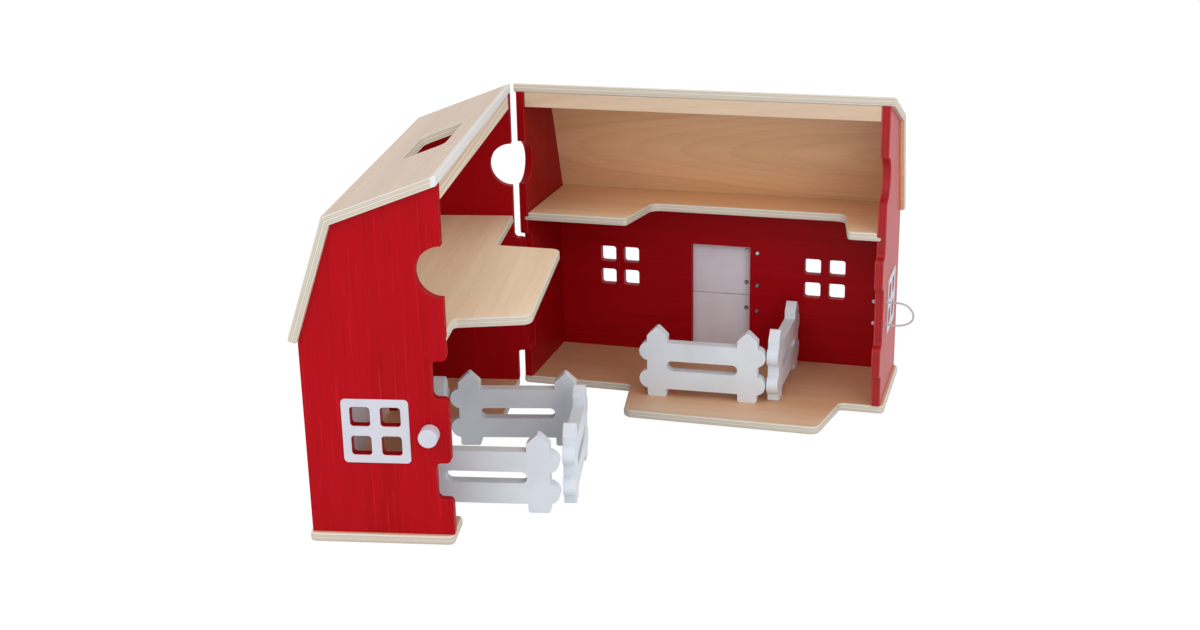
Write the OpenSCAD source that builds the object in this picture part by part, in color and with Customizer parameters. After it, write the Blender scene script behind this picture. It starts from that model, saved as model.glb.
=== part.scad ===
// Toy barn in two hinged halves, swung open, with loose fence panels.
// Millimetres, +Z up. The origin lies on the table, under the middle of the right half's floor plate.
// Each half is drawn in its own frame: u runs along the ridge from the hinge gable's outer face,
// v runs from the open edge to the back wall, and z runs up.

/* [Half barn] */
// Length over the two gables of a half
barn_len = 400; // [390:1:410]
// Thickness of the plywood boards
ply = 9; // [8:0.5:9.5]
// Depth of a gable at the floor
gable_depth = 131.5; // [130:0.5:136]
// Height of the eave, under the roof board
eave_z = 191; // [186:0.5:191]
// Distance of the roof's shoulder from the open edge
shoulder_v = 94.5; // [90:0.5:98]
// Height of the roof's shoulder, under the roof boards
shoulder_z = 299.5; // [292:0.5:305]
// Height of the ridge, under the roof boards
ridge_z = 334.5; // [326:0.5:340]
// Height of the loft's underside
loft_z = 192; // [192:0.5:194]
// Distance of the back wall's inside from the open edge
wall_v = 118; // [116:0.5:119]
// Angle between the two halves as they stand
open_angle = 79.5; // [60:0.5:170]

/* [Floor and roof edges] */
// How far the floor plate passes the hinge gable
base_lip_hinge = 2.5; // [0:0.5:3]
// How far the floor plate passes the latch gable and the gables' backs
base_lip = 4.5; // [2:0.5:6]
// How far the roof boards pass the hinge gable
roof_lip_hinge = 3; // [0:0.5:3.5]
// How far the roof boards pass the latch gable
roof_lip = 5; // [2:0.5:8]

/* [Tongues and recesses] */
// Start of a tongue's root along the ridge
tongue_root_from = 123; // [115:1:128]
// End of a tongue's root along the ridge
tongue_root_to = 358; // [352:1:364]
// How much a tongue draws in on each side towards its tip
tongue_taper = 12.5; // [8:0.5:16]
// Reach of the floor plate's tongue
base_tongue = 74; // [60:1:78]
// Reach of the loft's tongue
loft_tongue = 68; // [55:1:75]
// Play of a recess round its tongue
recess_play = 2; // [1:0.5:3]

/* [Gable edges] */
// Tops of the two notches or tabs on a gable's open edge
step_tops = [176, 79];
// Height of a notch
step_h = 35.5; // [28:0.5:36]
// Depth of a notch
notch_depth = 14; // [13:0.5:16]
// Reach of a tab
tab_reach = 12.5; // [9:0.5:12.5]
// Radius of the half-round port under the ridge
port_r = 23.5; // [18:0.5:28]
// Height of the port's centre
port_z = 257; // [245:1:265]

/* [Windows] */
// Side of one square pane opening
pane = 18.4; // [15:0.2:20]
// Width of the bars between panes
pane_bar = 9.2; // [7:0.2:11]
// Height of the gable windows' centre
gable_window_z = 109; // [100:0.5:120]
// Distance of the gable windows' centre from the open edge
gable_window_v = 66.5; // [60:0.5:72]
// Height of the back wall windows' centre
wall_window_z = 109.5; // [100:0.5:120]
// Places of the back wall windows along the ridge
wall_windows = [80, 320];
// Side of the painted window trim
trim_side = 61; // [56:0.5:66]

/* [Roof hatch] */
// Length of the hatch along the ridge
hatch_len = 100; // [80:1:110]
// Distance of the hatch's upper and lower edges from the ridge, down the slope
hatch_span = [21, 67];

/* [Doors] */
// Height of the top of both doorways
doorway_top = 141.6; // [130:0.2:145]
// Edges of the small doorway along the ridge
house_doorway = [165.75, 234.25];
// Edges of the wide doorway along the ridge
barn_doorway = [110, 290];
// Heights of the small door's hinges
house_hinge_z = [27.8, 66.2, 97, 135.4];
// Heights of the wide doors' hinges
barn_hinge_z = [35, 128];
// Height of the join between the small door's leaves
leaf_join_z = 81.6; // [78:0.2:84]

/* [Fence panels] */
// Distance between the posts' centres
post_gap = 99; // [92:1:104]
// Height of a panel
fence_h = 80; // [76:1:84]
// Thickness of a panel
fence_t = 12; // [9:0.5:12]

/* [Hidden] */
$fn = 48;

natural = "burlywood";
red = "firebrick";
white = "white";
door_white = "gainsboro";
steel = "silver";

// Where the barn's hinge axis stands: out from the gables, and half the gap between the halves
axis_out = 4;
half_gap = 1.2;
origin_u = 200;
origin_v = 66;

back_v = wall_v + ply;
groove_depth = 4;
loft_back_v = wall_v + 9.5;
tab_play = 1;
step_corner_r = 5;
step_mouth_r = 4.5;
tongue_tip_r = 11;
tongue_root_r = 5;
plate_corner_r = 6;
beam_h = 16.5;
beam_set_in = 1;
pane_r = 3;
pane_pitch = pane + pane_bar;
trim_t = 1;
trim_r = 4;
hatch_r = 7;
fit = 0.05;

// Door leaves hang on the outside of the wall, on hinges with their axis beyond the leaf's face
leaf_air = 0.3;
leaf_floor_gap = 3.4;
leaf_overlap = 9;
leaf_join_gap = 0.8;
leaf_r = 2;
door_axis_v = back_v + 10;
door_axis_past = 5.05;
leaf_edge_to_axis = 2.3;
plate_t = 1.2;
door_hinge_h = 14;
door_knuckle_r = 2;
door_pin_r = 1;
segment_gap = 0.2;
wall_rivet_x = 3.4;
leaf_rivet_x = -10.6;
rivet_r = 1.2;
rivet_head_r = 2.7;
rivet_head_t = 0.9;

// Butt hinges between the halves
butt_hinge_z = [94.5, 126];
butt_hinge_h = 26;
butt_knuckle_r = 2.9;
butt_pin_r = 1.5;
butt_plate_t = 1.5;
butt_plate_from = 3;
butt_plate_to = 20;
screw_v = 12;
screw_spread = 7.5;
screw_r = 1.2;

knob_v = 17.5;
knob_z = 108;
knob_r = 8.75;
knob_len = 14;
knob_edge_r = 1.6;
knob_screw_r = 1.6;

// The elastic closing loop, from its upper hole out and back to its lower hole
cord_r = 1.1;
cord_v = 11.5;
cord_z = [99, 123];
knot_r = 2.2;
knot_steps = 10;
knot_step = (180 - asin(cord_r / knot_r)) / knot_steps;
loop_route = [
    [401.1, 11.5, 123], [405, 11.5, 123], [409.5, 11.7, 123], [414, 12, 122.8], [419, 12.4, 122],
    [424, 12.8, 119.6], [427.8, 13, 115.8], [430, 13, 111.4], [430.2, 13, 107], [428.4, 13, 103.2],
    [424.8, 13, 100.4], [420, 12.6, 98.6], [415, 12.2, 97.8], [410, 11.8, 97.6], [405, 11.6, 98.2],
    [401.1, 11.5, 99]
];
loop_sides = 8;

// Fence panels: [place along u, place along v, turn] in the frame of the half they stand in
porch_places = [[210.4, -18.4, 2.1], [286.8, 48, 90]];
pen_places = [[168.5, -24, 87.7], [250, -93, -1.2], [326, -18, 90], [234.5, 53, 0]];
post_w = 22;
foot_w = 21;
foot_h = 9;
post_shoulder_z = 69.5;
post_peak_r = 2.5;
rail_top = 62;
lobe_r = 10.4;
lobe_out = 9.3;
lobe_z = [19.5, 51.5];
slot_len = 77.5;
slot_h = 11.5;
slot_z = 35.75;

function unit(a) = a / norm(a);

// Points of an arc of radius r that rounds the corner q between p and s
function corner_arc(p, q, s, r, steps = 6) =
    let (
        a = unit(p - q),
        b = unit(s - q),
        half = acos(a * b) / 2,
        centre = q + unit(a + b) * (r / sin(half)),
        from = q + a * r / tan(half) - centre,
        to = q + b * r / tan(half) - centre,
        start = atan2(from.y, from.x),
        turn = ((atan2(to.y, to.x) - start + 540) % 360) - 180
    )
    [for (i = [0:steps]) centre + r * [cos(start + turn * i / steps), sin(start + turn * i / steps)]];

// An outline from corners given as [x, y, radius]
function rounded(corners) =
    let (n = len(corners), xy = [for (c = corners) [c.x, c.y]])
    [for (i = [0:n - 1]) each corners[i].z == 0
        ? [xy[i]]
        : corner_arc(xy[(i + n - 1) % n], xy[i], xy[(i + 1) % n], corners[i].z)];

function box_corners(lo, hi, r) = [[lo.x, lo.y, r], [hi.x, lo.y, r], [hi.x, hi.y, r], [lo.x, hi.y, r]];

// The open edge of a gable, from the top down: notches go in, tabs stand out
function edge_steps(reach, play) =
    [for (top = step_tops) each [
        [0, top - play, step_mouth_r],
        [reach, top - play, step_corner_r],
        [reach, top - step_h + play, step_corner_r],
        [0, top - step_h + play, step_mouth_r]
    ]];

// A plate's open edge along u: a tongue has a negative reach, a recess a positive one
function tongue_edge(reach, play) = [
    [tongue_root_from - play, 0, tongue_root_r],
    [tongue_root_from + tongue_taper - play, reach, tongue_tip_r],
    [tongue_root_to - tongue_taper + play, reach, tongue_tip_r],
    [tongue_root_to + play, 0, tongue_root_r]
];

function plate_outline(from, to, back, reach, play, r) =
    rounded(concat([[from, 0, r]], tongue_edge(reach, play), [[to, 0, r], [to, back, r], [from, back, r]]));

roof_ridge = [0, ridge_z];
roof_shoulder = [shoulder_v, shoulder_z];
roof_eave = [gable_depth, eave_z];
function left_normal(a) = [-a.y, a.x];
upper_normal = left_normal(unit(roof_shoulder - roof_ridge));
lower_normal = left_normal(unit(roof_eave - roof_shoulder));
outer_shoulder = roof_shoulder + (upper_normal + lower_normal) * ply / (1 + upper_normal * lower_normal);
outer_ridge = roof_ridge + [0, ply / upper_normal.y];
outer_eave = roof_eave + lower_normal * ply;
upper_slope = atan2(ridge_z - shoulder_z, shoulder_v);
function roof_under(v) = ridge_z - v * tan(upper_slope);

module on_right() translate([-origin_u, -origin_v, 0]) children();
module on_left()
    translate([-origin_u - axis_out, -origin_v - half_gap, 0])
        rotate([0, 0, -open_angle])
            mirror([0, 1, 0])
                translate([axis_out, half_gap, 0])
                    children();

// Boards: an outline in (v, z) raised along u, in (u, z) raised along v, or in (u, v) raised along z
module upright(u, t = ply) translate([u, 0, 0]) rotate([90, 0, 90]) linear_extrude(height = t) children();
module wall(v, t = ply) translate([0, v + t, 0]) rotate([90, 0, 0]) linear_extrude(height = t) children();
module flat(z, t = ply) translate([0, 0, z]) linear_extrude(height = t) children();

module rod_u(u0, u1, v, z, r) translate([u0, v, z]) rotate([0, 90, 0]) cylinder(r = r, h = u1 - u0);
module rod_v(v0, v1, u, z, r) translate([u, v1, z]) rotate([90, 0, 0]) cylinder(r = r, h = v1 - v0);
module door_rivet_hole(v0, v1, u, z) rod_v(v0, v1, u, z, rivet_r + fit);

module panes(centre)
    for (i = [-1, 1], j = [-1, 1])
        translate(centre + [i, j] * pane_pitch / 2)
            polygon(rounded(box_corners([-pane / 2, -pane / 2], [pane / 2, pane / 2], pane_r)));

module window_trim(centre)
    difference() {
        translate(centre - [trim_side, trim_side] / 2)
            polygon(rounded(box_corners([0, 0], [trim_side, trim_side], trim_r)));
        panes(centre);
    }

module gable_outline(reach, play)
    difference() {
        polygon(rounded(concat(
            [[gable_depth, ply, 0], [gable_depth, eave_z, 0], [shoulder_v, shoulder_z, 0], [0, ridge_z, 0]],
            edge_steps(reach, play),
            [[0, ply, 0]]
        )));
        translate([0, port_z]) circle(r = port_r, $fn = 64);
    }

// A gable with the loft's groove in its inside face
module hinge_gable(reach, play)
    color(red)
        difference() {
            upright(0) gable_outline(reach, play);
            translate([ply - groove_depth, -1, loft_z]) cube([groove_depth + 1, loft_back_v + 1, ply / 2]);
            for (z = butt_hinge_z, side = [-1, 1])
                rod_u(-1, 7, screw_v, z + side * screw_spread, screw_r + fit);
        }

module latch_gable(reach, play)
    color(red)
        difference() {
            upright(barn_len - ply)
                difference() {
                    gable_outline(reach, play);
                    panes([gable_window_v, gable_window_z]);
                }
            translate([barn_len - ply - 1, -1, loft_z]) cube([groove_depth + 1, loft_back_v + 1, ply / 2]);
            children();
        }

module base(reach, play)
    color(natural)
        flat(0)
            polygon(plate_outline(-base_lip_hinge, barn_len + base_lip, gable_depth + base_lip_hinge,
                reach, play, plate_corner_r));

module loft(reach, play)
    color(natural) {
        flat(loft_z) polygon(plate_outline(ply, barn_len - ply, loft_back_v, reach, play, 0));
        for (u = [ply - groove_depth, barn_len - ply])
            translate([u, 0, loft_z]) cube([groove_depth, loft_back_v, ply / 2]);
    }

module ridge_beam()
    color(natural)
        upright(ply, barn_len - 2 * ply)
            polygon([
                [beam_set_in, ridge_z - beam_h],
                [beam_set_in + ply, ridge_z - beam_h],
                [beam_set_in + ply, roof_under(beam_set_in + ply)],
                [beam_set_in, roof_under(beam_set_in)]
            ]);

module roof_board(outline)
    color(natural) upright(-roof_lip_hinge, barn_len + roof_lip_hinge + roof_lip) polygon(outline);

module upper_roof() roof_board([roof_ridge, roof_shoulder, outer_shoulder, outer_ridge]);
module lower_roof() roof_board([roof_shoulder, roof_eave, outer_eave, outer_shoulder]);

module back_wall(doorway, hinge_heights, hinge_sides)
    color(red)
        difference() {
            wall(wall_v)
                difference() {
                    translate([ply, ply]) square([barn_len - 2 * ply, loft_z - ply]);
                    translate([doorway.x, ply - 1]) square([doorway.y - doorway.x, doorway_top - ply + 1]);
                    children();
                }
            for (z = hinge_heights, side = hinge_sides)
                door_rivet_hole(wall_v - 1, back_v + 1, door_axis_u(doorway, side) + side * wall_rivet_x, z);
        }

// Door hinges: side 1 hangs the leaf from the doorway's far edge, side -1 from its near edge
function door_axis_u(doorway, side) = (side > 0 ? doorway.y : doorway.x) + side * door_axis_past;

module at_door_axis(doorway, side, z)
    translate([door_axis_u(doorway, side), door_axis_v, z]) facing(side) children();
module facing(side) if (side > 0) children(); else mirror([1, 0, 0]) children();

segment_h = (door_hinge_h - 2 * segment_gap) / 3;
module outer_segments(h, gap)
    for (z = [-h / 2, h / 2 - (h - 2 * gap) / 3]) translate([0, 0, z]) children();

wall_face_y = back_v - door_axis_v;
leaf_face_y = wall_face_y + leaf_air + ply;

module door_wall_plate()
    color(steel)
        difference() {
            union() {
                translate([-plate_t / 2, wall_face_y, -door_hinge_h / 2]) cube([8.3, plate_t, door_hinge_h]);
                outer_segments(door_hinge_h, segment_gap) {
                    translate([-plate_t / 2, wall_face_y, 0]) cube([plate_t, -wall_face_y, segment_h]);
                    cylinder(r = door_knuckle_r, h = segment_h);
                }
            }
            translate([0, 0, -door_hinge_h]) cylinder(r = door_pin_r + fit, h = 2 * door_hinge_h);
            door_rivet_hole(wall_face_y - 1, wall_face_y + plate_t + 1, wall_rivet_x, 0);
        }

module door_leaf_plate()
    color(steel)
        difference() {
            union() {
                translate([-15.3, leaf_face_y, -door_hinge_h / 2]) cube([12.8, plate_t, door_hinge_h]);
                translate([-3, leaf_face_y, -segment_h / 2]) cube([3, plate_t, segment_h]);
                translate([0, 0, -segment_h / 2]) cylinder(r = door_knuckle_r, h = segment_h);
            }
            translate([0, 0, -door_hinge_h]) cylinder(r = door_pin_r + fit, h = 2 * door_hinge_h);
            door_rivet_hole(leaf_face_y - 1, leaf_face_y + plate_t + 1, leaf_rivet_x, 0);
        }

module door_pin() pin(door_pin_r, door_hinge_h + 2 * segment_gap, door_knuckle_r - 0.3, 0.8);

module pin(r, h, head_r, head_t)
    color(steel) {
        translate([0, 0, -h / 2]) cylinder(r = r, h = h);
        for (z = [-h / 2 - head_t, h / 2]) translate([0, 0, z]) cylinder(r = head_r, h = head_t);
    }

// A rivet through thickness t, with its wide head on the inside
module rivet(t)
    color(steel)
        rotate([-90, 0, 0]) {
            cylinder(r = rivet_r, h = t);
            translate([0, 0, -rivet_head_t])
                cylinder(r1 = rivet_head_r - 0.8, r2 = rivet_head_r, h = rivet_head_t);
            translate([0, 0, t]) cylinder(r1 = 2.1, r2 = 1.6, h = 0.7);
        }

module wall_rivet() translate([wall_rivet_x, wall_face_y - ply, 0]) rivet(ply + plate_t);
module leaf_rivet() translate([leaf_rivet_x, leaf_face_y - ply, 0]) rivet(ply + plate_t);

module door_leaf(doorway, side, from, to, z0, z1, hinge_heights)
    color(door_white)
        difference() {
            wall(back_v + leaf_air) polygon(rounded(box_corners([from, z0], [to, z1], leaf_r)));
            for (z = hinge_heights)
                door_rivet_hole(back_v, door_axis_v, door_axis_u(doorway, side) + side * leaf_rivet_x, z);
        }

leaf_foot_z = ply + leaf_floor_gap;
leaf_top_z = doorway_top + leaf_overlap;
house_leaf_from = house_doorway.x - leaf_overlap - 0.25;
house_leaf_to = door_axis_u(house_doorway, 1) - leaf_edge_to_axis;
house_lower_z = [house_hinge_z[0], house_hinge_z[1]];
house_upper_z = [house_hinge_z[2], house_hinge_z[3]];
barn_middle_u = (barn_doorway.x + barn_doorway.y) / 2;

module house_leaf(z0, z1, hinge_heights)
    on_right() door_leaf(house_doorway, 1, house_leaf_from, house_leaf_to, z0, z1, hinge_heights);

module at_house_hinges(heights)
    on_right() for (z = heights) at_door_axis(house_doorway, 1, z) children();

module at_barn_hinges(sides)
    on_left() for (side = sides, z = barn_hinge_z) at_door_axis(barn_doorway, side, z) children();

// Butt hinge between the halves, drawn round its axis
module at_butt_hinge(i) translate([-axis_out, -half_gap, butt_hinge_z[i]]) children();

module butt_plate(outer)
    color(steel) {
        seg_h = (butt_hinge_h - 2 * segment_gap) / 3;
        difference() {
            union() {
                translate([axis_out - butt_plate_t, half_gap + butt_plate_from, -butt_hinge_h / 2])
                    cube([butt_plate_t, butt_plate_to - butt_plate_from, butt_hinge_h]);
                if (outer)
                    outer_segments(butt_hinge_h, segment_gap) butt_knuckle(seg_h);
                else
                    translate([0, 0, -seg_h / 2]) butt_knuckle(seg_h);
            }
            translate([0, 0, -butt_hinge_h]) cylinder(r = butt_pin_r + fit, h = 2 * butt_hinge_h);
            for (side = [-1, 1])
                rod_u(0, axis_out + 1, half_gap + screw_v, side * screw_spread, screw_r + fit);
        }
    }

module butt_knuckle(h) {
    cylinder(r = butt_knuckle_r, h = h);
    translate([1, 0, 0]) cube([axis_out - 1, half_gap + butt_plate_from + 0.5, h]);
}

module butt_pin() pin(butt_pin_r, butt_hinge_h + 2 * segment_gap, butt_knuckle_r - 0.5, 1);

module hinge_screws()
    color(steel)
        for (z = butt_hinge_z, side = [-1, 1])
            translate([-butt_plate_t, screw_v, z + side * screw_spread])
                rotate([0, 90, 0]) {
                    cylinder(r = screw_r, h = 8);
                    translate([0, 0, -1]) cylinder(r1 = 1.8, r2 = 2.6, h = 1);
                }

module fence_panel()
    color(white)
        translate([0, fence_t / 2, 0])
            rotate([90, 0, 0])
                linear_extrude(height = fence_t)
                    difference() {
                        union() {
                            translate([-post_gap / 2, foot_h]) square([post_gap, rail_top - foot_h]);
                            for (side = [-1, 1])
                                translate([side * post_gap / 2, 0]) fence_post(side);
                        }
                        translate([-(slot_len - slot_h) / 2, slot_z - slot_h / 2])
                            square([slot_len - slot_h, slot_h]);
                        for (side = [-1, 1])
                            translate([side * (slot_len - slot_h) / 2, slot_z]) circle(d = slot_h);
                    }

module fence_post(side) {
    polygon(rounded([
        [-foot_w / 2, 0, 2.5], [foot_w / 2, 0, 2.5], [foot_w / 2, foot_h, 0], [post_w / 2, foot_h, 0],
        [post_w / 2, post_shoulder_z, 1.5], [0, fence_h, post_peak_r], [-post_w / 2, post_shoulder_z, 1.5],
        [-post_w / 2, foot_h, 0], [-foot_w / 2, foot_h, 0]
    ]));
    for (z = lobe_z) translate([side * lobe_out, z]) circle(r = lobe_r);
}

module stand(place, z) translate([place[0], place[1], z]) rotate([0, 0, place[2]]) fence_panel();
module porch_fence(i) on_right() stand(porch_places[i], ply);
module pen_fence(i) on_left() stand(pen_places[i], 0);

// A round tube through the points of a route that stays near the (u, z) plane
function ring(points, i, r, sides) =
    let (
        n = len(points) - 1,
        along = unit(points[min(i + 1, n)] - points[max(i - 1, 0)]),
        out = unit(cross(along, [0, 1, 0])),
        up = cross(out, along)
    )
    [for (k = [0:sides - 1]) points[i] + r * (cos(360 * k / sides) * out + sin(360 * k / sides) * up)];

module tube(points, r, sides) {
    n = len(points);
    polyhedron(
        [for (i = [0:n - 1]) each ring(points, i, r, sides)],
        concat(
            [[for (k = [0:sides - 1]) sides - 1 - k]],
            [for (i = [0:n - 2], k = [0:sides - 1], half = [0, 1])
                let (a = i * sides + k, b = i * sides + (k + 1) % sides)
                half == 0 ? [a, b, b + sides] : [a, b + sides, a + sides]],
            [[for (k = [0:sides - 1]) (n - 1) * sides + k]]
        )
    );
}

module right_base() on_right() base(-base_tongue, 0);
module left_base() on_left() base(base_tongue - 0.5, recess_play);
module right_loft() on_right() loft(loft_tongue - 0.5, recess_play);
module left_loft() on_left() loft(-loft_tongue, 0);

module right_hinge_gable() on_right() hinge_gable(notch_depth, 0);
module left_hinge_gable() on_left() hinge_gable(-tab_reach, tab_play);
module right_latch_gable()
    on_right()
        latch_gable(-tab_reach, tab_play)
            for (z = cord_z) rod_u(barn_len - ply - 1, barn_len + 1, cord_v, z, cord_r + fit);
module left_latch_gable()
    on_left()
        latch_gable(notch_depth, 0)
            rod_u(barn_len - ply - 1, barn_len + 1, knob_v, knob_z, knob_screw_r + fit);

module right_back_wall()
    on_right()
        back_wall(house_doorway, house_hinge_z, [1])
            for (u = wall_windows) panes([u, wall_window_z]);
module left_back_wall() on_left() back_wall(barn_doorway, barn_hinge_z, [-1, 1]);

module right_ridge_beam() on_right() ridge_beam();
module left_ridge_beam() on_left() ridge_beam();
module right_upper_roof() on_right() upper_roof();
module right_lower_roof() on_right() lower_roof();
module left_lower_roof() on_left() lower_roof();
hatch_corners = box_corners([0, hatch_span.x], [hatch_len, hatch_span.y], hatch_r);
module left_upper_roof()
    color(natural)
        on_left()
            difference() {
                upper_roof();
                translate([(barn_len - hatch_len) / 2, 0, ridge_z])
                    rotate([-upper_slope, 0, 0])
                        translate([0, 0, -1])
                            linear_extrude(height = ply + 2)
                                polygon(rounded(hatch_corners));
            }

module gable_trim() color(white) upright(barn_len, trim_t) window_trim([gable_window_v, gable_window_z]);
module wall_trim(u) color(white) wall(back_v, trim_t) window_trim([u, wall_window_z]);
module right_gable_window_trim() on_right() gable_trim();
module left_gable_window_trim() on_left() gable_trim();
module hinge_side_window_trim() on_right() wall_trim(wall_windows[0]);
module latch_side_window_trim() on_right() wall_trim(wall_windows[1]);

module knob()
    color(white)
        on_left()
            translate([barn_len, knob_v, knob_z])
                rotate([0, 90, 0])
                    difference() {
                        rotate_extrude()
                            polygon(concat(
                                [[0, 0]],
                                corner_arc([0, 0], [knob_r, 0], [knob_r, 5], 0.8),
                                corner_arc([knob_r, 0], [knob_r, knob_len], [0, knob_len], knob_edge_r),
                                [[0, knob_len]]
                            ));
                        translate([0, 0, -1]) cylinder(r = knob_screw_r + fit, h = 10.5);
                    }

module knob_screw()
    color(steel)
        on_left()
            translate([barn_len - ply, knob_v, knob_z])
                rotate([0, 90, 0]) {
                    cylinder(r = knob_screw_r, h = ply + 9);
                    translate([0, 0, -1.6]) cylinder(r1 = 2.6, r2 = 3.4, h = 1.6);
                }

module loop_cord() color(white) on_right() tube(loop_route, cord_r, loop_sides);

// A knot inside the gable with the cord's stub through its hole
module loop_anchor()
    color(white)
        on_right()
            for (z = cord_z)
                translate([barn_len - ply - knot_r, cord_v, z])
                    rotate([0, 90, 0])
                        rotate_extrude()
                            polygon(concat(
                                [[0, -knot_r]],
                                [for (i = [1:knot_steps]) knot_r * [sin(i * knot_step), -cos(i * knot_step)]],
                                [[cord_r, ply + knot_r], [0, ply + knot_r]]
                            ));

module upper_door_leaf() house_leaf(leaf_join_z + leaf_join_gap / 2, leaf_top_z, house_upper_z);
module lower_door_leaf() house_leaf(leaf_foot_z, leaf_join_z - leaf_join_gap / 2, house_lower_z);
module house_door_wall_plates() at_house_hinges(house_hinge_z) door_wall_plate();
module upper_door_plates() at_house_hinges(house_upper_z) door_leaf_plate();
module lower_door_plates() at_house_hinges(house_lower_z) door_leaf_plate();
module house_door_pins() at_house_hinges(house_hinge_z) door_pin();
module house_door_wall_rivets() at_house_hinges(house_hinge_z) wall_rivet();
module upper_door_rivets() at_house_hinges(house_upper_z) leaf_rivet();
module lower_door_rivets() at_house_hinges(house_lower_z) leaf_rivet();

barn_leaf_gap = 1;
module hinge_side_barn_door()
    on_left()
        door_leaf(barn_doorway, -1, door_axis_u(barn_doorway, -1) + leaf_edge_to_axis,
            barn_middle_u - barn_leaf_gap / 2, leaf_foot_z, leaf_top_z, barn_hinge_z);
module latch_side_barn_door()
    on_left()
        door_leaf(barn_doorway, 1, barn_middle_u + barn_leaf_gap / 2,
            door_axis_u(barn_doorway, 1) - leaf_edge_to_axis, leaf_foot_z, leaf_top_z, barn_hinge_z);
module barn_door_wall_plates() at_barn_hinges([-1, 1]) door_wall_plate();
module hinge_side_door_plates() at_barn_hinges([-1]) door_leaf_plate();
module latch_side_door_plates() at_barn_hinges([1]) door_leaf_plate();
module barn_door_pins() at_barn_hinges([-1, 1]) door_pin();
module barn_door_wall_rivets() at_barn_hinges([-1, 1]) wall_rivet();
module hinge_side_door_rivets() at_barn_hinges([-1]) leaf_rivet();
module latch_side_door_rivets() at_barn_hinges([1]) leaf_rivet();

module upper_hinge_right_plate() on_right() at_butt_hinge(1) butt_plate(true);
module upper_hinge_left_plate() on_left() at_butt_hinge(1) butt_plate(false);
module upper_hinge_pin() on_right() at_butt_hinge(1) butt_pin();
module lower_hinge_right_plate() on_right() at_butt_hinge(0) butt_plate(true);
module lower_hinge_left_plate() on_left() at_butt_hinge(0) butt_plate(false);
module lower_hinge_pin() on_right() at_butt_hinge(0) butt_pin();
module right_hinge_screws() on_right() hinge_screws();
module left_hinge_screws() on_left() hinge_screws();

module porch_fence_front() porch_fence(0);
module porch_fence_side() porch_fence(1);
module pen_fence_rear() pen_fence(0);
module pen_fence_right() pen_fence(1);
module pen_fence_front() pen_fence(2);
module pen_fence_left() pen_fence(3);

right_base();
right_back_wall();
right_hinge_gable();
right_latch_gable();
right_loft();
right_ridge_beam();
right_upper_roof();
right_lower_roof();
left_base();
left_back_wall();
left_hinge_gable();
left_latch_gable();
left_loft();
left_ridge_beam();
left_upper_roof();
left_lower_roof();
right_gable_window_trim();
left_gable_window_trim();
hinge_side_window_trim();
latch_side_window_trim();
knob();
knob_screw();
loop_cord();
loop_anchor();
upper_door_leaf();
lower_door_leaf();
house_door_wall_plates();
upper_door_plates();
lower_door_plates();
house_door_pins();
house_door_wall_rivets();
upper_door_rivets();
lower_door_rivets();
hinge_side_barn_door();
latch_side_barn_door();
barn_door_wall_plates();
hinge_side_door_plates();
latch_side_door_plates();
barn_door_pins();
barn_door_wall_rivets();
hinge_side_door_rivets();
latch_side_door_rivets();
upper_hinge_right_plate();
upper_hinge_left_plate();
upper_hinge_pin();
lower_hinge_right_plate();
lower_hinge_left_plate();
lower_hinge_pin();
right_hinge_screws();
left_hinge_screws();
porch_fence_front();
porch_fence_side();
pen_fence_rear();
pen_fence_right();
pen_fence_front();
pen_fence_left();
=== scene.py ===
import math

import bmesh
import bpy
from mathutils import Matrix, Vector


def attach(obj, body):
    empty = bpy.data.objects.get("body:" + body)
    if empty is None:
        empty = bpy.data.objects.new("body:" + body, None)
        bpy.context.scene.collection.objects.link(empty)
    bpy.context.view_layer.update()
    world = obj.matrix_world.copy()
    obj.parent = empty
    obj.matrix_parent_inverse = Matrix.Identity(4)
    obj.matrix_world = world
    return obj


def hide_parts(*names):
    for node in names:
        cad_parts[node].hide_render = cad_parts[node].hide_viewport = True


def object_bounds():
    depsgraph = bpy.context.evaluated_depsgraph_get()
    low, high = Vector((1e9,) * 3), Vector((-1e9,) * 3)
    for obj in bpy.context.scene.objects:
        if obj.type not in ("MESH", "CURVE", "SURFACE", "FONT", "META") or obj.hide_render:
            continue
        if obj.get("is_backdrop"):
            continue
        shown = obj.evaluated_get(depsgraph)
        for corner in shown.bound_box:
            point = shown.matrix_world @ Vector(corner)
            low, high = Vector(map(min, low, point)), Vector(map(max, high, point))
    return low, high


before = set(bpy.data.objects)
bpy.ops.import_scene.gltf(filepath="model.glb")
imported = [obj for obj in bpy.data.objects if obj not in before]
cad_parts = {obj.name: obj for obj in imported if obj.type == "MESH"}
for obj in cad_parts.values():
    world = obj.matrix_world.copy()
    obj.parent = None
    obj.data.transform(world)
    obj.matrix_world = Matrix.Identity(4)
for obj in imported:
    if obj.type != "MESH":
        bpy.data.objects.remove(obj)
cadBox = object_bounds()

mm = 0.001
print("frame loaded:", len(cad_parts), "nodes")

# The barn stands half open. Each half has its own place: u along the ridge from the hinge
# gable, v from the open edge to the back wall, z up.
barn = {
    "openAngle": math.radians(79.5),
    "hingeAxis": Vector((-204, -67.2, 0)) * mm,
    "axisOut": 4 * mm,
    "halfGap": 1.2 * mm,
    "rightOrigin": Vector((-200, -66, 0)) * mm,
    "upperSlope": math.atan2(35, 94.5),
    "lowerSlope": math.atan2(108.5, 37),
}

rightHalf = Matrix.Translation(barn["rightOrigin"])
leftHalf = (
    Matrix.Translation(barn["hingeAxis"])
    @ Matrix.Rotation(-barn["openAngle"], 4, "Z")
    @ Matrix.Scale(-1, 4, (0, 1, 0))
    @ Matrix.Translation((barn["axisOut"], barn["halfGap"], 0))
)
halves = {"right": rightHalf, "left": leftHalf}
halfBody = {"right": "right_half", "left": "left_half"}

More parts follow.
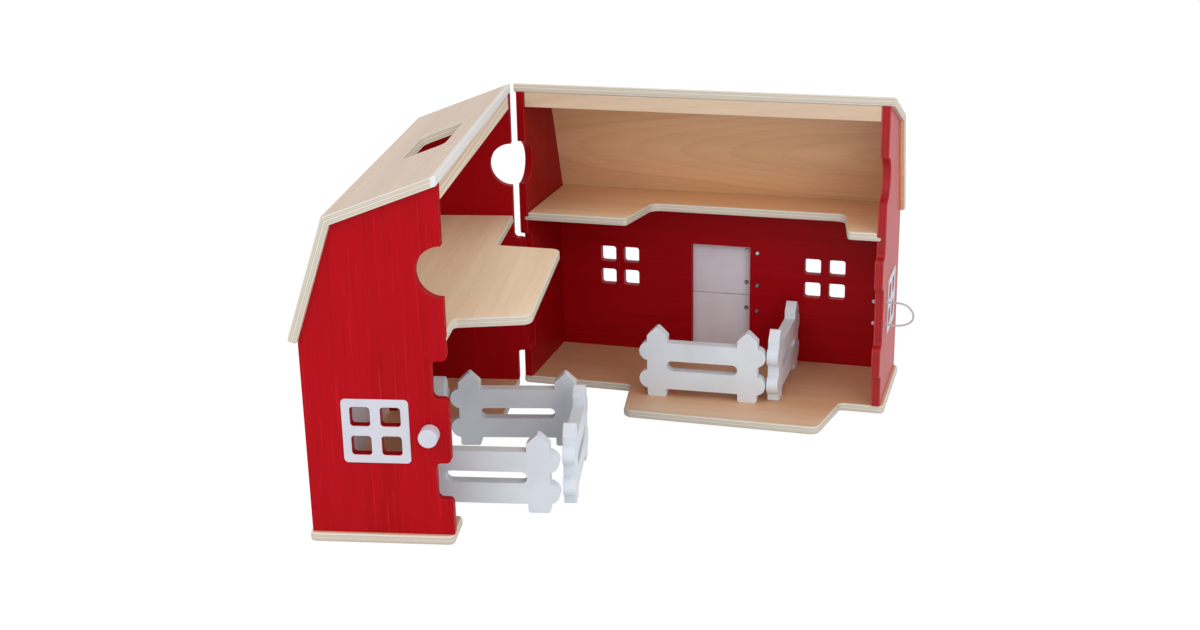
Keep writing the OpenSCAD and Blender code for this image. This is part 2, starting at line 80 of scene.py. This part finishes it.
# Directions in a half, for the grain and the thickness of its boards
along = Vector((1, 0, 0))
deep = Vector((0, 1, 0))
upward = Vector((0, 0, 1))
upperRoofOut = Vector((0, math.sin(barn["upperSlope"]), math.cos(barn["upperSlope"])))
lowerRoofOut = Vector((0, math.sin(barn["lowerSlope"]), math.cos(barn["lowerSlope"])))

# Camera
view = {
    "lens": 48.89,
    "place": (0.37998, -1.70156, 0.67001),
    "turn": (71.184, 1.046, 16.331),
}
cameraData = bpy.data.cameras.new("barnCamera")
cameraData.lens = view["lens"]
cameraData.sensor_width = 36
cameraObject = bpy.data.objects.new("barnCamera", cameraData)
cameraObject.location = view["place"]
cameraObject.rotation_euler = [math.radians(a) for a in view["turn"]]
bpy.context.scene.collection.objects.link(cameraObject)
bpy.context.scene.camera = cameraObject
print("camera set")


# Shader sockets that add and multiply like numbers
class Wire:
    def __init__(self, net, socket):
        self.net = net
        self.socket = socket

    def join(self, operation, first, second=None):
        values = {0: first} if second is None else {0: first, 1: second}
        return self.net.add("Math", {"operation": operation}, values)

    def __add__(self, other):
        return self.join("ADD", self, other)

    def __radd__(self, other):
        return self.join("ADD", other, self)

    def __sub__(self, other):
        return self.join("SUBTRACT", self, other)

    def __rsub__(self, other):
        return self.join("SUBTRACT", other, self)

    def __mul__(self, other):
        return self.join("MULTIPLY", self, other)

    def __rmul__(self, other):
        return self.join("MULTIPLY", other, self)

    def __truediv__(self, other):
        return self.join("DIVIDE", self, other)

    def __pow__(self, other):
        return self.join("POWER", self, other)

    def least(self, other):
        return self.join("MINIMUM", self, other)

    def most(self, other):
        return self.join("MAXIMUM", self, other)

    def size(self):
        return self.join("ABSOLUTE", self)

    def fraction(self):
        return self.join("FRACT", self)

    def wave(self):
        return self.join("SINE", self)

    def between(self, low, high):  # 0 at low, 1 at high, smooth in between
        sockets = {"Value": self, "From Min": low, "From Max": high}
        return self.net.add("MapRange", {"interpolation_type": "SMOOTHSTEP"}, sockets)


class Finish:
    def __init__(self, name):
        self.material = bpy.data.materials.new(name)
        self.material.use_nodes = True
        self.tree = self.material.node_tree
        self.tree.nodes.clear()

    def add(self, kind, settings=None, sockets=None, out=0):
        node = self.tree.nodes.new("ShaderNode" + kind)
        for name, value in (settings or {}).items():
            setattr(node, name, value)
        for name, value in (sockets or {}).items():
            target = node.inputs[name]
            if isinstance(value, Wire):
                self.tree.links.new(value.socket, target)
            else:
                target.default_value = value
        return Wire(self, node.outputs[out]) if len(node.outputs) else None

    def split(self, vector):
        first = self.add("SeparateXYZ", None, {0: vector})
        node = first.socket.node
        return [Wire(self, node.outputs[i]) for i in range(3)]

    def blend(self, low, high, factor, mode="MIX"):
        def full(c):
            return c if isinstance(c, Wire) else (*c, 1)

        settings = {"data_type": "RGBA", "blend_type": mode}
        return self.add("Mix", settings, {0: factor, 6: full(low), 7: full(high)}, out=2)

    def noise(self, vector, scale, detail=2, distortion=0.0, roughness=0.5):
        stretched = self.add("Mapping", None, {"Vector": vector, "Scale": scale})
        sockets = {
            "Vector": stretched,
            "Scale": 1,
            "Detail": detail,
            "Roughness": roughness,
            "Distortion": distortion,
        }
        return self.add("TexNoise", None, sockets)

    def bump(self, height, strength, distance):
        return self.add("Bump", None, {"Height": height, "Strength": strength, "Distance": distance})

    def surface(self, sockets):
        shader = self.add("BsdfPrincipled", None, sockets)
        return self.show(shader)

    def show(self, shader):
        self.add("OutputMaterial", None, {"Surface": shader})
        return self.material


def srgb(*levels):  # screen levels from 0 to 255 as linear light
    shares = [level / 255 for level in levels]
    return tuple(s / 12.92 if s <= 0.04045 else ((s + 0.055) / 1.055) ** 2.4 for s in shares)


# Plywood. The attribute "board" holds, in metres, the way along the grain, the way across it from
# the heart of the veneer's figure, and the depth through the board, so that the edge veneers run
# round every cut edge. The attribute "veneer" is the colour of the board's faces, its tone with
# painted light and shade set board by board, "figure" the strength of its growth rings, and "inside"
# how far a place lies in from the front of a plate, where a painted sheen pales the faces.
plywood = {
    "thickness": 9 * mm,
    "veneer": 1.8 * mm,
    "skin": 0.25 * mm,
    "ring": 6.5 * mm,
    "zone": 31 * mm,
    "ringLean": 0.1,
    "ringDepth": 52 * mm,
    "pale": (1, 0.97, 0.93),
    "warm": (0.78, 0.66, 0.54),
    "line": (0.66, 0.5, 0.36),
    # painted sheen: pales and cools the front of a plate, a painted reflection of the white
    # surroundings
    "front": (1.12, 1.36, 1.6),
    "edge": srgb(222, 218, 207),
    "edgeDark": srgb(203, 190, 168),
    "edgeLine": srgb(160, 134, 100),
    # painted highlight: the lit, bluish white of the left upper roof's ridge-side cut edges
    "ridgeEdgeHighlight": srgb(235, 239, 242),
    "redDark": (0.55, 0.3, 0.4),
    "redLight": (1.3, 14, 2.4),
    "redEdge": srgb(176, 4, 16),
    "redEdgeLine": srgb(98, 0, 6),
    # lighter red of the band on the roundings: painted highlight together with wear
    "redWearAndHighlight": srgb(228, 66, 58),
    "redShine": 0.1,
    "redSheen": 0.42,
    "shine": 0.5,
    "relief": (0.25, 0.15 * mm),
}


def boardWays(finish):
    vector = finish.add("Attribute", {"attribute_name": "board"}, None, out=1)
    return vector, finish.split(vector)


def growthRings(finish, vector, grain, across):
    sway = finish.noise(vector, (7, 26, 0), 2) - 0.5
    drift = finish.noise(vector, (2.2, 9, 0), 1) - 0.5
    side = across + sway * (7 * mm)
    depth = plywood["ringDepth"] - grain * plywood["ringLean"] + drift * (26 * mm)
    radius = (side * side + depth * depth) ** 0.5
    ring = (radius / plywood["ring"] + sway * 0.25).fraction()
    return ring, (radius / plywood["zone"] + sway * 0.15).fraction()


def veneerLines(finish, vector, through):
    wander = finish.noise(vector, (25, 25, 0), 2) - 0.5
    depth = (through + wander * (0.5 * mm)) / plywood["veneer"]
    nearest = ((depth + 0.5).fraction() - 0.5).size()
    line = 1 - nearest.between(0.05, 0.19)
    crossed = ((depth * 0.5).fraction() - 0.5).between(-0.02, 0.02)
    return line, crossed


def cutEdge(through):  # 0 on a face, 1 on the edges and their rounding
    fromFace = through.least(plywood["thickness"] - through)
    return fromFace.between(0.3 * plywood["skin"], 1.2 * plywood["skin"])


def naturalPlywood(name, ridgeHighlightShare):
    finish = Finish(name)
    vector, (grain, across, through) = boardWays(finish)
    veneer = finish.add("Attribute", {"attribute_name": "veneer"}, None, out=0)
    figure = finish.add("Attribute", {"attribute_name": "figure"}, None, out=2)
    fine = finish.noise(vector, (10, 520, 520), 4, 0.2)
    streak = finish.noise(vector, (2.2, 55, 55), 3, 0.4)
    ring, zone = growthRings(finish, vector, grain, across)
    band = ring ** 2.4 * (1 - ring.between(0.9, 1.0)) * figure
    zoneShade = (1 - zone) ** 1.6 * zone.between(0.0, 0.06) * figure
    fleck = finish.noise(vector, (200, 2600, 2600), 1).between(0.64, 0.74)
    tint = 0.25 + (streak - 0.5) * 0.8 + (fine - 0.5) * 0.4
    shade = finish.blend(plywood["pale"], plywood["warm"], tint)
    lines = band * 0.26 + zoneShade * 0.3 + fine.between(0.55, 0.85) * 0.16 + fleck * 0.2
    shade = finish.blend(shade, plywood["line"], lines)
    face = finish.blend(veneer, shade, 1, "MULTIPLY")
    # painted sheen: the front of a plate is paled as a painted reflection of the white surroundings,
    # fading out over the given stretch
    inside = finish.add("Attribute", {"attribute_name": "inside"}, None, out=2)
    front = 1 - inside.between(0.0, 1.0)
    face = finish.blend(face, plywood["front"], front, "MULTIPLY")
    line, crossed = veneerLines(finish, vector, through)
    pits = finish.noise(vector, (900, 900, 300), 2).between(0.5, 0.75)
    edge = finish.blend(plywood["edge"], plywood["edgeDark"], crossed * 0.5 + pits * crossed * 0.15)
    edge = finish.blend(edge, plywood["edgeLine"], line * (streak * 0.5 + 0.35))
    # painted highlight on the cut edges near the ridge side of the left upper roof
    edge = finish.blend(edge, plywood["ridgeEdgeHighlight"], front * ridgeHighlightShare)
    cut = cutEdge(through)
    relief = fine * 0.5 + band * 0.2 + cut * (crossed * 0.6 + pits * 0.3)
    return finish.surface({
        "Base Color": finish.blend(face, edge, cut),
        "Roughness": 0.4 + fine * 0.12 + cut * 0.12,
        "Specular IOR Level": plywood["shine"],
        "Normal": finish.bump(relief, *plywood["relief"]),
    })


def redPlywood(name, shine):
    finish = Finish(name)
    vector, (grain, across, through) = boardWays(finish)
    fine = finish.noise(vector, (12, 520, 520), 4, 0.2)
    streak = finish.noise(vector, (2.4, 110, 110), 3, 0.3)
    cloud = finish.noise(vector, (7, 22, 22), 2, 0.3)
    bright = finish.noise(vector, (11, 600, 600), 2, 0.3).between(0.6, 0.7)
    veneer = finish.add("Attribute", {"attribute_name": "veneer"}, None, out=0)
    dark = streak.between(0.4, 0.85) * 0.32 + cloud.between(0.45, 0.9) * 0.35
    shade = finish.blend((1, 1, 1), plywood["redDark"], dark)
    shade = finish.blend(shade, plywood["redLight"], bright * cloud.between(0.3, 0.55) * 0.7)
    shade = finish.blend(shade, plywood["redDark"], fine.between(0.52, 0.78) * 0.4)
    face = finish.blend(veneer, shade, 1, "MULTIPLY")
    line, crossed = veneerLines(finish, vector, through)
    edge = finish.blend(plywood["redEdge"], plywood["redEdgeLine"], line * 0.75 + crossed * 0.25)
    fromFace = through.least(plywood["thickness"] - through)
    # a lighter band on the roundings next to the faces: painted highlight together with wear
    wearAndHighlight = fromFace.between(0.2 * mm, 0.5 * mm) * (1 - fromFace.between(0.6 * mm, 1.3 * mm))
    edge = finish.blend(edge, plywood["redWearAndHighlight"], wearAndHighlight * (0.2 + cloud * 0.5))
    cut = cutEdge(through)
    return finish.surface({
        "Base Color": finish.blend(face, edge, cut),
        "Roughness": 0.36 + fine * 0.14 + cut * 0.08,
        "Specular IOR Level": shine,
        "Normal": finish.bump(fine * 0.6 + cut * crossed * 0.5, *plywood["relief"]),
    })


paint = {
    "white": srgb(228, 236, 243),
    "whiteLow": srgb(216, 222, 230),
    "trim": srgb(212, 214, 224),
    "trimLow": srgb(200, 202, 212),
    "door": srgb(233, 233, 243),
    "doorLow": srgb(221, 219, 228),
}


def paintedWood(name, high, low):
    finish = Finish(name)
    place = finish.add("TexCoord", None, None, out=3)
    brush = finish.noise(place, (60, 60, 420), 3, 0.2)
    cloud = finish.noise(place, (22, 22, 22), 2)
    speck = finish.noise(place, (900, 900, 900), 2).between(0.66, 0.74)
    colour = finish.blend(high, low, cloud.between(0.35, 0.75) * 0.7 + brush * 0.2)
    return finish.surface({
        "Base Color": finish.blend(colour, low, speck * 0.6),
        "Roughness": 0.4 + brush * 0.12,
        "Normal": finish.bump(brush * 0.6 + cloud * 0.6 - speck * 0.4, 0.2, 0.15 * mm),
    })


fittingColours = {
    "zinc": srgb(214, 214, 216),
    "zincLow": srgb(160, 158, 158),
    "rivet": srgb(250, 246, 250),
    "rivetRimReflection": srgb(50, 42, 46),
    "elastic": srgb(208, 206, 212),
    "elasticLow": srgb(168, 166, 172),
}


def zincPlate():
    finish = Finish("zincPlate")
    place = finish.add("TexCoord", None, None, out=3)
    grain = finish.noise(place, (1800, 1800, 300), 3)
    cloud = finish.noise(place, (240, 240, 240), 2)
    colour = finish.blend(fittingColours["zinc"], fittingColours["zincLow"], cloud.between(0.35, 0.7))
    return finish.surface({
        "Base Color": colour,
        "Metallic": 1.0,
        "Roughness": 0.26 + grain * 0.16 + cloud * 0.1,
        "Normal": finish.bump(grain, 0.15, 0.05 * mm),
    })


# Bright heads with a dark rim painted in, a painted reflection of dark surroundings; the attribute
# "rim" is 0 at the middle and 1 at the rim
def rivetSteel():
    finish = Finish("rivetSteel")
    rim = finish.add("Attribute", {"attribute_name": "rim"}, None, out=2)
    place = finish.add("TexCoord", None, None, out=3)
    cloud = finish.noise(place, (900, 900, 900), 2)
    # painted reflection: the heads darken towards the rim
    edge = (rim + (cloud - 0.5) * 0.3).between(0.52, 0.85)
    colour = finish.blend(fittingColours["rivet"], fittingColours["rivetRimReflection"], edge)
    return finish.surface({
        "Base Color": colour,
        "Metallic": 1.0,
        "Roughness": 0.1 + cloud * 0.12,
        "Normal": finish.bump(cloud, 0.2, 0.05 * mm),
    })


def coveredElastic():
    finish = Finish("coveredElastic")
    place = finish.add("TexCoord", None, None, out=3)
    first, second, third = finish.split(place)
    rib = ((first + third) * 6200).wave() * ((first - third) * 6200).wave()
    weave = rib * 0.5 + 0.5
    colour = finish.blend(fittingColours["elasticLow"], fittingColours["elastic"], weave)
    return finish.surface({
        "Base Color": colour,
        "Roughness": 0.75,
        "Normal": finish.bump(weave, 0.5, 0.1 * mm),
    })


naturalFinish = naturalPlywood("naturalPlywood", 0)
# plywood with a painted highlight on its ridge-side cut edges, for the left upper roof
ridgeHighlightFinish = naturalPlywood("ridgeHighlightPlywood", 0.85)
redFinish = redPlywood("redPlywood", plywood["redShine"])
redSheenFinish = redPlywood("redSheenPlywood", plywood["redSheen"])
whiteFinish = paintedWood("whitePaint", paint["white"], paint["whiteLow"])
trimFinish = paintedWood("trimPaint", paint["trim"], paint["trimLow"])
doorFinish = paintedWood("doorPaint", paint["door"], paint["doorLow"])
zincFinish = zincPlate()
rivetFinish = rivetSteel()
elasticFinish = coveredElastic()
print("finishes made")


# Finished pieces from the carried-over solids: a merged copy of a node, with its sharp
# outer edges rounded, which then stands for the node.
shaping = {
    "mergeWithin": 0.002 * mm,
    "flatWithin": math.radians(0.5),
    "roundFrom": 35,
    "fittingRoundFrom": 50,
    "creaseFrom": math.radians(50),
}


def cleanCopy(node):
    shape = bmesh.new()
    shape.from_mesh(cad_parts[node].data)
    bmesh.ops.remove_doubles(shape, verts=shape.verts, dist=shaping["mergeWithin"])
    bmesh.ops.dissolve_limit(
        shape, angle_limit=shaping["flatWithin"], verts=shape.verts, edges=shape.edges,
    )
    return shape


def roundEdges(shape, radius, segments, keep=None, sharp=shaping["roundFrom"]):
    def wanted(edge):
        if len(edge.link_faces) != 2 or edge.calc_face_angle_signed(0) < math.radians(sharp):
            return False
        return keep is None or keep((edge.verts[0].co + edge.verts[1].co) / 2)

    edges = [edge for edge in shape.edges if wanted(edge)]
    bmesh.ops.bevel(
        shape, geom=edges, offset=radius, offset_type="OFFSET", segments=segments, profile=0.5,
        affect="EDGES", clamp_overlap=True, material=-1,
    )


def camel(name):
    first, *rest = name.split("_")
    return first + "".join(word.title() for word in rest)


def finishPiece(name, shape, body, material, slot, nodes):
    mesh = bpy.data.meshes.new(name)
    for face in shape.faces:
        face.smooth = True
    for edge in shape.edges:
        edge.smooth = len(edge.link_faces) == 2 and edge.calc_face_angle(0) < shaping["creaseFrom"]
    shape.to_mesh(mesh)
    shape.free()
    mesh.materials.append(material)
    piece = bpy.data.objects.new(name, mesh)
    bpy.context.scene.collection.objects.link(piece)
    weights = piece.modifiers.new("flatFaces", "WEIGHTED_NORMAL")
    weights.keep_sharp = True
    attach(piece, body)
    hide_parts(*nodes)


# painted sheen: how far a place lies along the stretch over which a plate's painted sheen fades out
def markInside(shape, back, reach):
    inside = shape.verts.layers.float.new("inside")
    for vert in shape.verts:
        vert[inside] = ((back @ vert.co).y - reach[0]) / (reach[1] - reach[0]) if reach else 1


def markBoard(shape, ways, heart, veneer, figure):
    grainWay, throughWay = ways
    acrossWay = throughWay.cross(grainWay)
    depths = [throughWay.dot(vert.co) for vert in shape.verts]
    sides = [acrossWay.dot(vert.co) for vert in shape.verts]
    middle = (min(sides) + max(sides)) / 2
    first = min(depths)
    place = shape.verts.layers.float_vector.new("board")
    colour = shape.verts.layers.float_color.new("veneer")
    strength = shape.verts.layers.float.new("figure")
    for vert, depth, side in zip(shape.verts, depths, sides):
        vert[place] = (grainWay.dot(vert.co) - heart[0], side - middle - heart[1], depth - first)
        vert[colour] = (*veneer, 1)
        vert[strength] = figure


# Each board: its grain and thickness ways, its finish, its rounding, then for the right and left
# halves the heart of its figure, along and across the board, its colour and its figure's strength.
# The colours hold painted shade and light besides each board's tone: the back walls and the right
# hinge gable are darker for the shade inside the barn, the left loft paler for the light on it.
# A plate with a painted sheen at its front also has the stretch of v over which that sheen fades,
# and the left upper roof the stretch over which the painted highlight on its ridge side ends.
natural = {"finish": naturalFinish, "slot": "natural_ply"}
stained = {"finish": redFinish, "slot": "red_stain"}
boards = {
    "base": {
        **natural, "ways": (along, upward), "round": 2.6 * mm, "rightFront": (-75 * mm, -15 * mm),
        "right": ((-0.3, 0.09), srgb(222, 178, 142), 0.3),
        "left": ((0.6, 0.12), srgb(226, 184, 150), 0.3),
    },
    # the left loft's paler colour is painted light
    "loft": {
        **natural, "ways": (along, upward), "round": 1.7 * mm, "rightFront": (-25 * mm, 75 * mm),
        "right": ((0.5, 0.15), srgb(240, 196, 154), 0.4),
        "left": ((0.1, 0.2), srgb(255, 234, 205), 0.12),
    },
    "ridge_beam": {
        **natural, "ways": (along, deep), "round": 0.8 * mm,
        "right": ((0.2, 0.04), srgb(222, 201, 178), 0.5),
        "left": ((0.9, 0.5), srgb(250, 247, 240), 3),
    },
    "upper_roof": {
        **natural, "ways": (along, upperRoofOut), "round": 2.0 * mm,
        "leftFinish": ridgeHighlightFinish, "leftFront": (3.5 * mm, 6 * mm),
        "right": ((0.7, 0.1), srgb(206, 188, 172), 0.3),
        "left": ((1.2, 0.1), srgb(206, 188, 172), 0.15),
    },
    "lower_roof": {
        **natural, "ways": (along, lowerRoofOut), "round": 2.0 * mm,
        "right": ((-0.1, -0.012), srgb(242, 204, 163), 0.85),
        "left": ((0.4, 0.03), srgb(226, 206, 186), 0.3),
    },
    # the darker colours of the back walls and of the right hinge gable are painted shade
    "back_wall": {
        **stained, "ways": (along, deep), "round": 0.9 * mm,
        "right": ((0.3, 0.2), srgb(166, 1, 15), 1),
        "left": ((0.8, 0.2), srgb(158, 1, 12), 1),
    },
    "hinge_gable": {
        **stained, "ways": (upward, along), "round": 1.6 * mm,
        "right": ((1.3, 0.2), srgb(150, 1, 12), 1),
        "left": ((1.9, 0.2), srgb(164, 1, 14), 1),
    },
    "latch_gable": {
        **stained, "ways": (upward, along), "round": 1.6 * mm, "rightFinish": redSheenFinish,
        "right": ((2.4, 0.2), srgb(180, 4, 20), 1),
        "left": ((2.9, 0.2), srgb(180, 2, 18), 1),
    },
}
# Where the two roof boards of a half meet
mitre = {"deep": 97.5 * mm, "high": 303.5 * mm, "reach": 7 * mm}


def turned(half, way):
    return (halves[half].to_3x3() @ way).normalized()


for half in ("right", "left"):
    back = halves[half].inverted()

    def awayFromMitre(place):
        _, v, z = back @ place
        return math.hypot(v - mitre["deep"], z - mitre["high"]) > mitre["reach"]

    for name, board in boards.items():
        node = half + "_" + name
        shape = cleanCopy(node)
        roundEdges(shape, board["round"], 3, awayFromMitre if "roof" in name else None)
        markInside(shape, back, board.get(half + "Front"))
        markBoard(shape, [turned(half, way) for way in board["ways"]], *board[half])
        material = board.get(half + "Finish", board["finish"])
        finishPiece(camel(node), shape, halfBody[half], material, board["slot"], [node])
print("boards finished")

# Painted pieces: doors, window trims, fences
painted = {
    "round": {"door": 1.6 * mm, "trim": 0.35 * mm, "fence": 2.2 * mm, "knob": 0.5 * mm},
    "doors": {
        "upper_door_leaf": "upper_door",
        "lower_door_leaf": "lower_door",
        "hinge_side_barn_door": "hinge_side_door",
        "latch_side_barn_door": "latch_side_door",
    },
    "trims": {
        "right_gable_window_trim": "right_half",
        "hinge_side_window_trim": "right_half",
        "latch_side_window_trim": "right_half",
        "left_gable_window_trim": "left_half",
    },
    "fences": (
        "porch_fence_front", "porch_fence_side",
        "pen_fence_rear", "pen_fence_right", "pen_fence_front", "pen_fence_left",
    ),
}


def paintedPiece(node, body, radius, material, slot):
    shape = cleanCopy(node)
    roundEdges(shape, radius, 4)
    finishPiece(camel(node), shape, body, material, slot, [node])


for node, body in painted["doors"].items():
    paintedPiece(node, body, painted["round"]["door"], doorFinish, "door_white")
for node, body in painted["trims"].items():
    paintedPiece(node, body, painted["round"]["trim"], trimFinish, "white_paint")
for node in painted["fences"]:
    paintedPiece(node, node + "_panel", painted["round"]["fence"], whiteFinish, "white_paint")
paintedPiece("knob", "left_half", painted["round"]["knob"], trimFinish, "white_paint")
print("painted pieces finished")

# Metal fittings
fittings = {
    "right_half": (
        "house_door_wall_plates", "house_door_pins", "house_door_wall_rivets",
        "upper_hinge_right_plate", "upper_hinge_pin",
        "lower_hinge_right_plate", "lower_hinge_pin", "right_hinge_screws",
    ),
    "left_half": (
        "knob_screw", "barn_door_wall_plates", "barn_door_pins", "barn_door_wall_rivets",
        "upper_hinge_left_plate", "lower_hinge_left_plate", "left_hinge_screws",
    ),
    "upper_door": ("upper_door_plates", "upper_door_rivets"),
    "lower_door": ("lower_door_plates", "lower_door_rivets"),
    "hinge_side_door": ("hinge_side_door_plates", "hinge_side_door_rivets"),
    "latch_side_door": ("latch_side_door_plates", "latch_side_door_rivets"),
}
rivet = {"head": 2.7 * mm, "dome": 0.6 * mm}
plateRound = 0.22 * mm
leftBodies = ("left_half", "hinge_side_door", "latch_side_door")


def islands(shape):
    left = set(shape.verts)
    while left:
        found, border = set(), [left.pop()]
        while border:
            vert = border.pop()
            found.add(vert)
            near = {edge.other_vert(vert) for edge in vert.link_edges} & left
            left -= near
            border.extend(near)
        yield found


def markRims(shape, axis):
    rim = shape.verts.layers.float.new("rim")
    for verts in islands(shape):
        middle = sum((vert.co for vert in verts), Vector()) / len(verts)
        for vert in verts:
            offset = vert.co - middle
            vert[rim] = (offset - axis * offset.dot(axis)).length / rivet["head"]


for body, nodes in fittings.items():
    outward = turned("left" if body in leftBodies else "right", deep)
    for node in nodes:
        shape = cleanCopy(node)
        if node.endswith("rivets"):
            roundEdges(shape, rivet["dome"], 3, sharp=shaping["fittingRoundFrom"])
            markRims(shape, outward)
            finishPiece(camel(node), shape, body, rivetFinish, "steel", [node])
        else:
            roundEdges(shape, plateRound, 2, sharp=shaping["fittingRoundFrom"])
            finishPiece(camel(node), shape, body, zincFinish, "steel", [node])
print("metal fittings finished")

# Elastic closing loop
loop = {
    "radius": 1.1 * mm,
    "route": (
        (401.1, 11.5, 123), (405, 11.5, 123), (409.5, 11.7, 123), (414, 12, 122.8), (419, 12.4, 122),
        (424, 12.8, 119.6), (427.8, 13, 115.8), (430, 13, 111.4), (430.2, 13, 107), (428.4, 13, 103.2),
        (424.8, 13, 100.4), (420, 12.6, 98.6), (415, 12.2, 97.8), (410, 11.8, 97.6), (405, 11.6, 98.2),
        (401.1, 11.5, 99),
    ),
    "length": 71.5 * mm,
}
loopPoints = [rightHalf @ (Vector(point) * mm) for point in loop["route"]]
loopCurve = bpy.data.curves.new("closingLoop", "CURVE")
loopCurve.dimensions = "3D"
loopCurve.bevel_depth = loop["radius"]
loopCurve.bevel_resolution = 4
loopCurve.resolution_u = 6
loopCurve.use_fill_caps = True
loopCurve.materials.append(elasticFinish)
spline = loopCurve.splines.new("BEZIER")
spline.bezier_points.add(len(loopPoints) - 1)
for point, place in zip(spline.bezier_points, loopPoints):
    point.co = place
    point.handle_left_type = point.handle_right_type = "AUTO"
loopPiece = bpy.data.objects.new("closingLoop", loopCurve)
bpy.context.scene.collection.objects.link(loopPiece)
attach(loopPiece, "closing_loop")
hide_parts("loop_cord")
tuple(loopPoints[0])
shape = cleanCopy("loop_anchor")
finishPiece("loopKnots", shape, "right_half", elasticFinish, "elastic", ["loop_anchor"])
print("closing loop made")


# Table top, light and background
stage = {"size": 14, "low": -0.4 * mm, "glow": 1.1, "glowShare": 0.88, "room": 0.9}
white = (1, 1, 1, 1)


def tableFinish():
    finish = Finish("paleTable")
    path = finish.add("LightPath")
    rays = [Wire(finish, path.socket.node.outputs[name]) for name in
            ("Is Camera Ray", "Is Glossy Ray", "Is Transmission Ray")]
    seen = rays[0].most(rays[1]).most(rays[2])
    plain = finish.add("BsdfDiffuse", None, {"Color": (*srgb(232, 232, 234), 1)})
    glow = finish.add("Emission", None, {"Color": white, "Strength": stage["glow"]})
    return finish.show(finish.add("MixShader", None, {0: seen * stage["glowShare"], 1: plain, 2: glow}))


shape = bmesh.new()
bmesh.ops.create_grid(shape, x_segments=1, y_segments=1, size=stage["size"] / 2)
bmesh.ops.translate(shape, verts=shape.verts, vec=(0, 0, stage["low"]))
tableMesh = bpy.data.meshes.new("tableTop")
shape.to_mesh(tableMesh)
shape.free()
tableMesh.materials.append(tableFinish())
table = bpy.data.objects.new("tableTop", tableMesh)
bpy.context.scene.collection.objects.link(table)
table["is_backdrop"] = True

lamps = {
    "key": {"place": (-1.2, -1.9, 2.2), "size": 1.6, "power": 11},
    "right": {"place": (1.9, -1.9, 1.4), "size": 1.6, "power": 12},
}
aim = Vector((-0.05, -0.15, 0.12))
for name, lamp in lamps.items():
    light = bpy.data.lights.new(name, "AREA")
    light.shape = "DISK"
    light.size = lamp["size"]
    light.energy = lamp["power"]
    lampObject = bpy.data.objects.new(name, light)
    lampObject.location = lamp["place"]
    lampObject.rotation_euler = (aim - Vector(lamp["place"])).to_track_quat("-Z", "Y").to_euler()
    bpy.context.scene.collection.objects.link(lampObject)

world = bpy.data.worlds.new("softRoom")
world.use_nodes = True
bpy.context.scene.world = world
tree = world.node_tree
tree.nodes.clear()
paths = tree.nodes.new("ShaderNodeLightPath")
seenWhite = tree.nodes.new("ShaderNodeMath")
seenWhite.operation = "MAXIMUM"
tree.links.new(paths.outputs["Is Camera Ray"], seenWhite.inputs[0])
tree.links.new(paths.outputs["Is Glossy Ray"], seenWhite.inputs[1])
room = tree.nodes.new("ShaderNodeBackground")
room.inputs["Color"].default_value = white
room.inputs["Strength"].default_value = stage["room"]
backdrop = tree.nodes.new("ShaderNodeBackground")
backdrop.inputs["Color"].default_value = white
backdrop.inputs["Strength"].default_value = 1.0
mix = tree.nodes.new("ShaderNodeMixShader")
tree.links.new(seenWhite.outputs[0], mix.inputs[0])
tree.links.new(room.outputs[0], mix.inputs[1])
tree.links.new(backdrop.outputs[0], mix.inputs[2])
end = tree.nodes.new("ShaderNodeOutputWorld")
tree.links.new(mix.outputs[0], end.inputs["Surface"])
bpy.context.scene.view_settings.view_transform = "Standard"
print("table and light set")

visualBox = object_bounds()
sizes = {"cad": [list(corner) for corner in cadBox], "visual": [list(corner) for corner in visualBox]}
print("cad box", sizes["cad"], "visual box", sizes["visual"])
